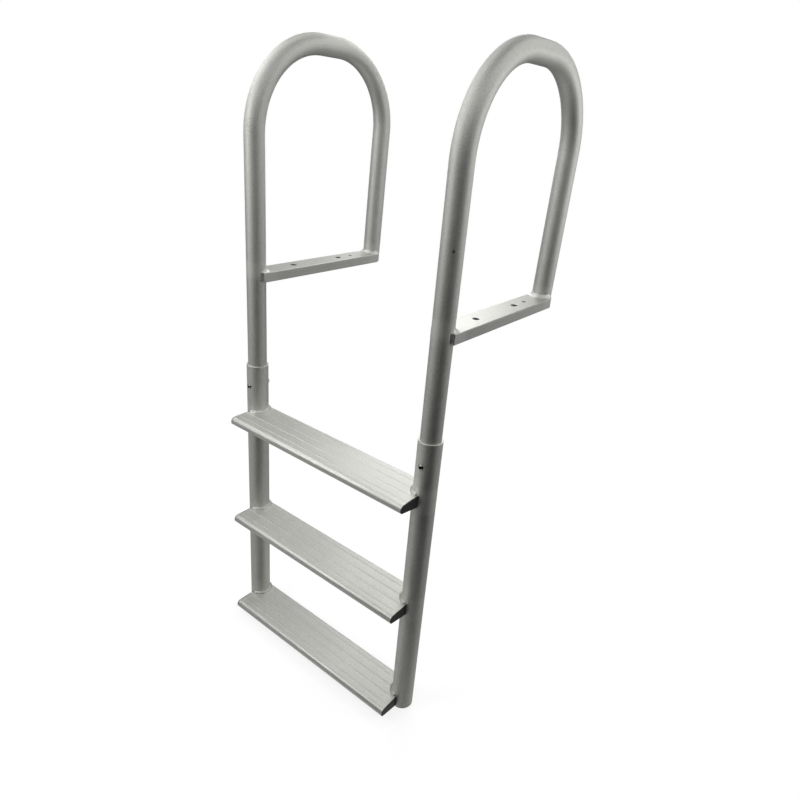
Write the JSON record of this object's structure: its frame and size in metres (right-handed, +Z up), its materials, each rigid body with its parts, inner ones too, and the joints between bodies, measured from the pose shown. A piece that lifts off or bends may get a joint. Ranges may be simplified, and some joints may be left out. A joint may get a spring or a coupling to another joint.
{
  "type": "boat ladder",
  "caption": "Fixed aluminium dock ladder: looped tube handrails on flat mounting bars that bolt to the dock, side rails below and welded hollow treads with plastic end caps.",
  "frame": {"origin": "underside of the left mounting bar, halfway between its two large bolt holes, on the dock's top", "axes": "+Z up; +Y towards the dock; -Y towards the water, where the tread noses are; +X to the climber's right"},
  "size_m": [0.4976, 0.4429, 1.253],
  "materials": {
    "satin_tube": "satin, bead blasted and clear anodised",
    "satin_rail": "satin, bead blasted and clear anodised",
    "satin_bar": "satin extrusion",
    "satin_tread": "satin extrusion with low ribs",
    "weld_bead": "rippled bright weld metal",
    "bolt_steel": "stainless steel",
    "dark_plastic": "moulded, dark"
  },
  "bodies": {
    "root": {"left_handrail": "satin_tube", "left_side_rail": "satin_rail", "left_mounting_bar": "satin_bar", "left_front_leg_weld": "weld_bead", "left_back_leg_weld": "weld_bead", "left_rail_bolt": "bolt_steel", "left_rail_nut": "bolt_steel", "left_rail_plug": "dark_plastic", "right_handrail": "satin_tube", "right_side_rail": "satin_rail", "right_mounting_bar": "satin_bar", "right_front_leg_weld": "weld_bead", "right_back_leg_weld": "weld_bead", "right_rail_bolt": "bolt_steel", "right_rail_nut": "bolt_steel", "right_rail_plug": "dark_plastic", "top_tread": "satin_tread", "top_tread_left_cap": "dark_plastic", "top_tread_left_upper_weld": "weld_bead", "top_tread_left_lower_weld": "weld_bead", "top_tread_right_cap": "dark_plastic", "top_tread_right_upper_weld": "weld_bead", "top_tread_right_lower_weld": "weld_bead", "middle_tread": "satin_tread", "middle_tread_left_cap": "dark_plastic", "middle_tread_left_upper_weld": "weld_bead", "middle_tread_left_lower_weld": "weld_bead", "middle_tread_right_cap": "dark_plastic", "middle_tread_right_upper_weld": "weld_bead", "middle_tread_right_lower_weld": "weld_bead", "bottom_tread": "satin_tread", "bottom_tread_left_cap": "dark_plastic", "bottom_tread_left_upper_weld": "weld_bead", "bottom_tread_left_lower_weld": "weld_bead", "bottom_tread_right_cap": "dark_plastic", "bottom_tread_right_upper_weld": "weld_bead", "bottom_tread_right_lower_weld": "weld_bead"}
  },
  "joints": []
}
